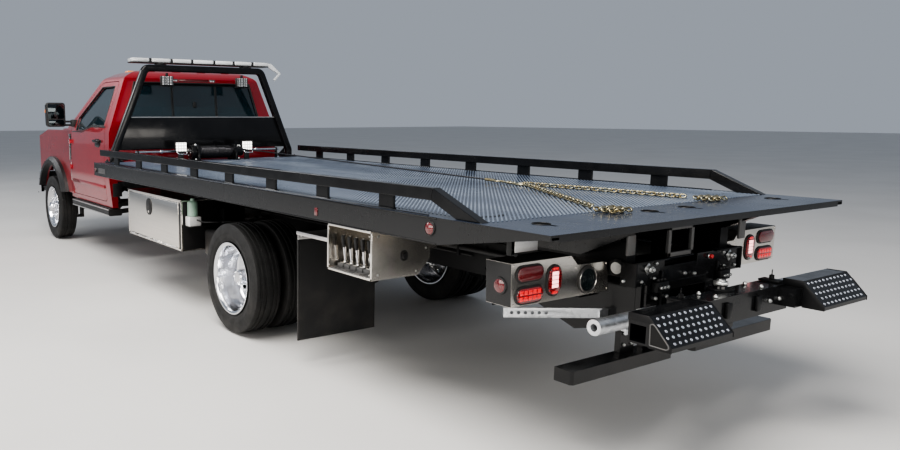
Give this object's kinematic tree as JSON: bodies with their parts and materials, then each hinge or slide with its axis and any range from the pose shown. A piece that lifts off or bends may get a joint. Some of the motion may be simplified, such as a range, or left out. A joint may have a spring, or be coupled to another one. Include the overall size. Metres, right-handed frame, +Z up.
{
  "type": "flatbed tow truck",
  "caption": "Flatbed tow truck: regular cab, twin-wheel rear axle, tilting and sliding deck with winch, side rails and headache rack, and a wheel lift at the tail.",
  "frame": {"origin": "on the ground under the middle of the whole vehicle, from bumper to lift steps", "axes": "+X the vehicle's left, +Y towards its tail, +Z up; the front faces -Y"},
  "size_m": [2.598, 9.37, 2.1579],
  "materials": {
    "cab_red": "deep red metallic paint under clear coat",
    "black_frame": "satin black chassis paint",
    "gloss_black": "gloss black paint",
    "deck_black": "gloss black over steel tread plate",
    "black_plastic": "grained black plastic",
    "black_tank": "smooth black tank",
    "engine_paint": "plain cast block",
    "cast_metal": "cast and forged steel",
    "polished_stainless": "polished stainless steel",
    "chrome_bumper": "bright chrome",
    "polished_aluminium": "polished forged aluminium",
    "galvanised": "galvanised steel",
    "cylinder_chrome": "ground hard chrome",
    "winch_metal": "black winch with bright parts",
    "wire_rope": "steel wire rope",
    "gold_zinc": "yellow zinc plated chain",
    "flap_rubber": "plain black rubber",
    "tyre_rubber": "black tyre rubber",
    "red_lamp": "red lamp lens",
    "clear_lamp": "clear lamp lens",
    "cab_interior": "dark grey cloth and plastic",
    "glass": "tinted safety glass"
  },
  "bodies": {
    "chassis": {"frame_rails": "black_frame", "engine_block": "engine_paint", "drivetrain": "cast_metal", "axles": "cast_metal", "suspension": "black_frame", "fuel_tank": "black_tank", "stowed_bar": "galvanised", "cab_floor": "cab_red", "cab_sides": "cab_red", "cab_back": "cab_red", "cab_roof": "cab_red", "cab_glass": "glass", "cab_interior": "cab_interior", "fenders": "cab_red", "arch_flares": "black_plastic", "grille": "black_plastic", "headlamps": "clear_lamp", "front_bumper": "chrome_bumper", "running_boards": "black_plastic", "tail_frame": "gloss_black", "tail_panels": "polished_stainless", "tail_lamps": "red_lamp", "toolboxes": "polished_stainless", "control_boxes": "polished_stainless", "mud_flaps": "flap_rubber"},
    "tilt_frame": {"subframe": "black_frame"},
    "bed": {"bed_deck": "deck_black", "bed_frame": "deck_black", "side_rails": "gloss_black", "headache_rack": "gloss_black", "bed_lamps": "clear_lamp", "winch": "winch_metal", "winch_cable": "wire_rope", "tie_chain": "gold_zinc", "slide_rod": "cylinder_chrome"},
    "tilt_barrels": {"tilt_barrels": "gloss_black"},
    "tilt_rods": {"tilt_rods": "cylinder_chrome"},
    "lift_arm": {"lift_arm": "gloss_black"},
    "stinger": {"stinger": "gloss_black"},
    "crossbar": {"crossbar": "gloss_black", "lift_tubes": "galvanised"},
    "hood": {"hood": "cab_red"},
    "door_left": {"door_left": "cab_red", "door_glass_left": "glass", "mirror_left": "black_plastic"},
    "knuckle_left": {"knuckle_left": "cast_metal"},
    "wheel_front_left": {"tyre_front_left": "tyre_rubber", "wheel_front_left": "polished_aluminium"},
    "wheel_rear_left": {"tyres_rear_left": "tyre_rubber", "wheels_rear_left": "polished_aluminium"},
    "toolbox_door_left": {"toolbox_door_left": "polished_stainless"},
    "door_right": {"door_right": "cab_red", "door_glass_right": "glass", "mirror_right": "black_plastic"},
    "knuckle_right": {"knuckle_right": "cast_metal"},
    "wheel_front_right": {"tyre_front_right": "tyre_rubber", "wheel_front_right": "polished_aluminium"},
    "wheel_rear_right": {"tyres_rear_right": "tyre_rubber", "wheels_rear_right": "polished_aluminium"},
    "toolbox_door_right": {"toolbox_door_right": "polished_stainless"}
  },
  "joints": [
    {"name": "bed_tilt", "type": "hinge", "parent": "chassis", "child": "tilt_frame", "pos_m": [0, 4.135, 0.85], "axis": [-1, 0, 0], "range_deg": [0, 16]},
    {"name": "bed_slide", "type": "slide", "parent": "tilt_frame", "child": "bed", "axis": [0, 1, 0], "range_m": [0, 3.35]},
    {"name": "tilt_cylinder_swing", "type": "hinge", "parent": "chassis", "child": "tilt_barrels", "pos_m": [0, 1.385, 0.6], "axis": [1, 0, 0], "range_deg": [0, 18.8]},
    {"name": "tilt_cylinder_stroke", "type": "slide", "parent": "tilt_barrels", "child": "tilt_rods", "axis": [0, 0.977, 0.2132], "range_m": [0, 0.229]},
    {"name": "lift_hinge", "type": "hinge", "parent": "chassis", "child": "lift_arm", "pos_m": [0, 2.885, 0.6], "axis": [-1, 0, 0], "range_deg": [-2, 6]},
    {"name": "lift_reach", "type": "slide", "parent": "lift_arm", "child": "stinger", "axis": [0, 1, 0], "range_m": [0, 0.5]},
    {"name": "crossbar_swivel", "type": "hinge", "parent": "stinger", "child": "crossbar", "pos_m": [0, 4.395, 0.66], "axis": [0, 0, 1], "range_deg": [-8, 8]},
    {"name": "hood_hinge", "type": "hinge", "parent": "chassis", "child": "hood", "pos_m": [0, -3.1, 1.392], "axis": [-1, 0, 0], "range_deg": [0, 45]},
    {"name": "door_hinge_left", "type": "hinge", "parent": "chassis", "child": "door_left", "pos_m": [1.024, -2.915, 1.1], "axis": [0, 0, -1], "range_deg": [0, 65]},
    {"name": "steer_left", "type": "hinge", "parent": "chassis", "child": "knuckle_left", "pos_m": [0.76, -3.715, 0.4075], "axis": [0, 0, 1], "range_deg": [-30, 30]},
    {"name": "roll_front_left", "type": "hinge", "parent": "knuckle_left", "child": "wheel_front_left", "pos_m": [0.95, -3.715, 0.4075], "axis": [1, 0, 0], "continuous": true},
    {"name": "roll_rear_left", "type": "hinge", "parent": "chassis", "child": "wheel_rear_left", "pos_m": [0.94, 1.492, 0.4075], "axis": [1, 0, 0], "continuous": true},
    {"name": "toolbox_drop_left", "type": "hinge", "parent": "chassis", "child": "toolbox_door_left", "pos_m": [1.1955, 0.1, 0.505], "axis": [0, 1, 0], "range_deg": [0, 90]},
    {"name": "door_hinge_right", "type": "hinge", "parent": "chassis", "child": "door_right", "pos_m": [-1.024, -2.915, 1.1], "axis": [0, 0, 1], "range_deg": [0, 65]},
    {"name": "steer_right", "type": "hinge", "parent": "chassis", "child": "knuckle_right", "pos_m": [-0.76, -3.715, 0.4075], "axis": [0, 0, 1], "range_deg": [-30, 30]},
    {"name": "roll_front_right", "type": "hinge", "parent": "knuckle_right", "child": "wheel_front_right", "pos_m": [-0.95, -3.715, 0.4075], "axis": [1, 0, 0], "continuous": true},
    {"name": "roll_rear_right", "type": "hinge", "parent": "chassis", "child": "wheel_rear_right", "pos_m": [-0.94, 1.492, 0.4075], "axis": [1, 0, 0], "continuous": true},
    {"name": "toolbox_drop_right", "type": "hinge", "parent": "chassis", "child": "toolbox_door_right", "pos_m": [-1.1955, 0.1, 0.505], "axis": [0, -1, 0], "range_deg": [0, 90]}
  ],
  "couplings": [
    {"joint": "tilt_cylinder_swing", "follows": "bed_tilt", "ratio": 1.1625},
    {"joint": "tilt_cylinder_stroke", "follows": "bed_tilt", "m_per_rad": 0.81288},
    {"joint": "steer_right", "follows": "steer_left", "ratio": 1}
  ]
}
